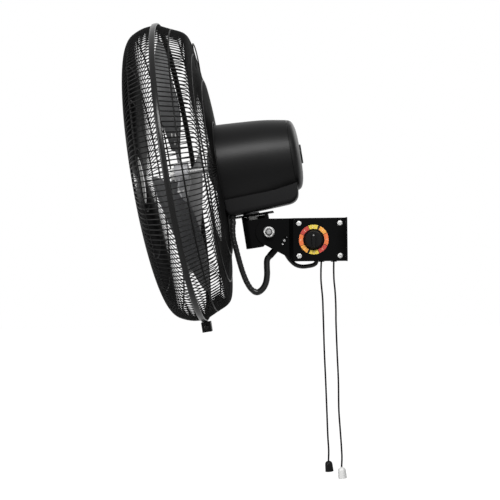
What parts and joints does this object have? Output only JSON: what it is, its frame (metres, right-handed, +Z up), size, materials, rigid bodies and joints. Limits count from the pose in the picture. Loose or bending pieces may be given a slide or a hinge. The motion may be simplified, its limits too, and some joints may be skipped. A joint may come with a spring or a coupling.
{
  "type": "wall mounted fan",
  "caption": "Wall mounted industrial fan: round wire cage with a paddle-blade rotor, barrel motor housing, tilting neck, and a control box with knob and pull cords.",
  "frame": {"origin": "centre of the wall plate's back face, on the wall", "axes": "+Z up, +X into the wall, the fan faces -X, the control cover faces -Y"},
  "size_m": [0.4053, 0.565, 0.8522],
  "materials": {
    "black_steel": "fine satin powder coat",
    "gloss_shell": "smooth gloss black",
    "black_plastic": "fine matt grain",
    "black_wire": "semi gloss powder coat on wire",
    "grey_plastic": "smooth matt",
    "white_plastic": "smooth satin",
    "zinc": "bright zinc plate",
    "bare_steel": "turned steel",
    "copper_winding": "varnished winding",
    "cast_aluminium": "cast",
    "dark_blade": "dark gloss sheet",
    "dial_print": "printed dial in yellow, orange and red sectors",
    "cable_rubber": "smooth rubber sheath"
  },
  "bodies": {
    "bracket": {"wall_plate": "black_steel", "arm_side_near": "black_steel", "arm_side_far": "black_steel", "box_roof": "black_steel", "box_floor": "black_steel", "control_cover": "black_steel", "cover_screw_1": "zinc", "cover_screw_2": "zinc", "cover_screw_3": "zinc", "cover_screw_4": "zinc", "dial_ring": "dial_print", "rotary_switch": "black_plastic", "swing_pull_switch": "black_plastic", "run_capacitor": "grey_plastic", "terminal_block": "white_plastic", "cord_grommet_left": "black_plastic", "cord_grommet_right": "black_plastic", "tilt_bolt": "zinc", "tilt_washer": "zinc", "tilt_nut": "zinc", "cable_strain_relief": "black_plastic", "jumper_cable": "cable_rubber"},
    "knob": {"speed_knob": "black_plastic"},
    "left_pull": {"pull_cord_left": "cable_rubber", "pull_bell_left": "black_plastic"},
    "right_pull": {"pull_cord_right": "cable_rubber", "pull_bell_right": "white_plastic"},
    "neck": {"neck_plate": "black_steel", "neck_channel": "black_steel", "guide_screw": "zinc", "swivel_bolt": "zinc", "swivel_nut": "zinc", "cable_lower": "cable_rubber"},
    "head": {"swivel_boss": "cast_aluminium", "motor_shell": "gloss_shell", "rear_cap": "gloss_shell", "rear_plug": "black_plastic", "front_end_bell": "gloss_shell", "bearing_front": "bare_steel", "bearing_rear": "bare_steel", "stator": "copper_winding", "gear_case_cover": "black_plastic", "cable_gland": "black_plastic", "swing_gearbox": "cast_aluminium", "front_guard": "black_wire", "rear_guard": "black_wire", "guard_mount_plate": "black_steel", "guard_centre_disc": "grey_plastic", "clamp_ring": "gloss_shell", "clamp_block": "black_plastic", "clamp_screw": "zinc", "hanging_loop": "black_wire", "cable_upper": "cable_rubber"},
    "rotor": {"blade_spider": "cast_aluminium", "blade_1": "dark_blade", "blade_2": "dark_blade", "blade_3": "dark_blade", "motor_shaft": "bare_steel", "rotor_core": "bare_steel", "hub_nut": "zinc"}
  },
  "joints": [
    {"name": "head_tilt", "type": "hinge", "parent": "bracket", "child": "neck", "pos_m": [-0.144, 0, 0.015], "axis": [0, -1, 0], "range_deg": [-10, 10], "deforming": ["cable_lower"]},
    {"name": "head_swing", "type": "hinge", "parent": "neck", "child": "head", "pos_m": [-0.178, 0, 0.0484], "axis": [-0.1478, 0, 0.989], "range_deg": [-45, 45], "deforming": ["cable_upper"]},
    {"name": "rotor_spin", "type": "hinge", "parent": "head", "child": "rotor", "pos_m": [-0.19241, 0, 0.14483], "axis": [0.989, 0, 0.1478], "continuous": true},
    {"name": "speed_knob_turn", "type": "hinge", "parent": "bracket", "child": "knob", "pos_m": [-0.0613, 0, 0], "axis": [0, -1, 0], "continuous": true},
    {"name": "left_cord_pull", "type": "slide", "parent": "bracket", "child": "left_pull", "axis": [0, 0, -1], "range_m": [0, 0.015], "stiffness_N_per_m": 400, "springref_m": -0.01},
    {"name": "right_cord_pull", "type": "slide", "parent": "bracket", "child": "right_pull", "axis": [0, 0, -1], "range_m": [0, 0.015], "stiffness_N_per_m": 400, "springref_m": -0.01}
  ]
}
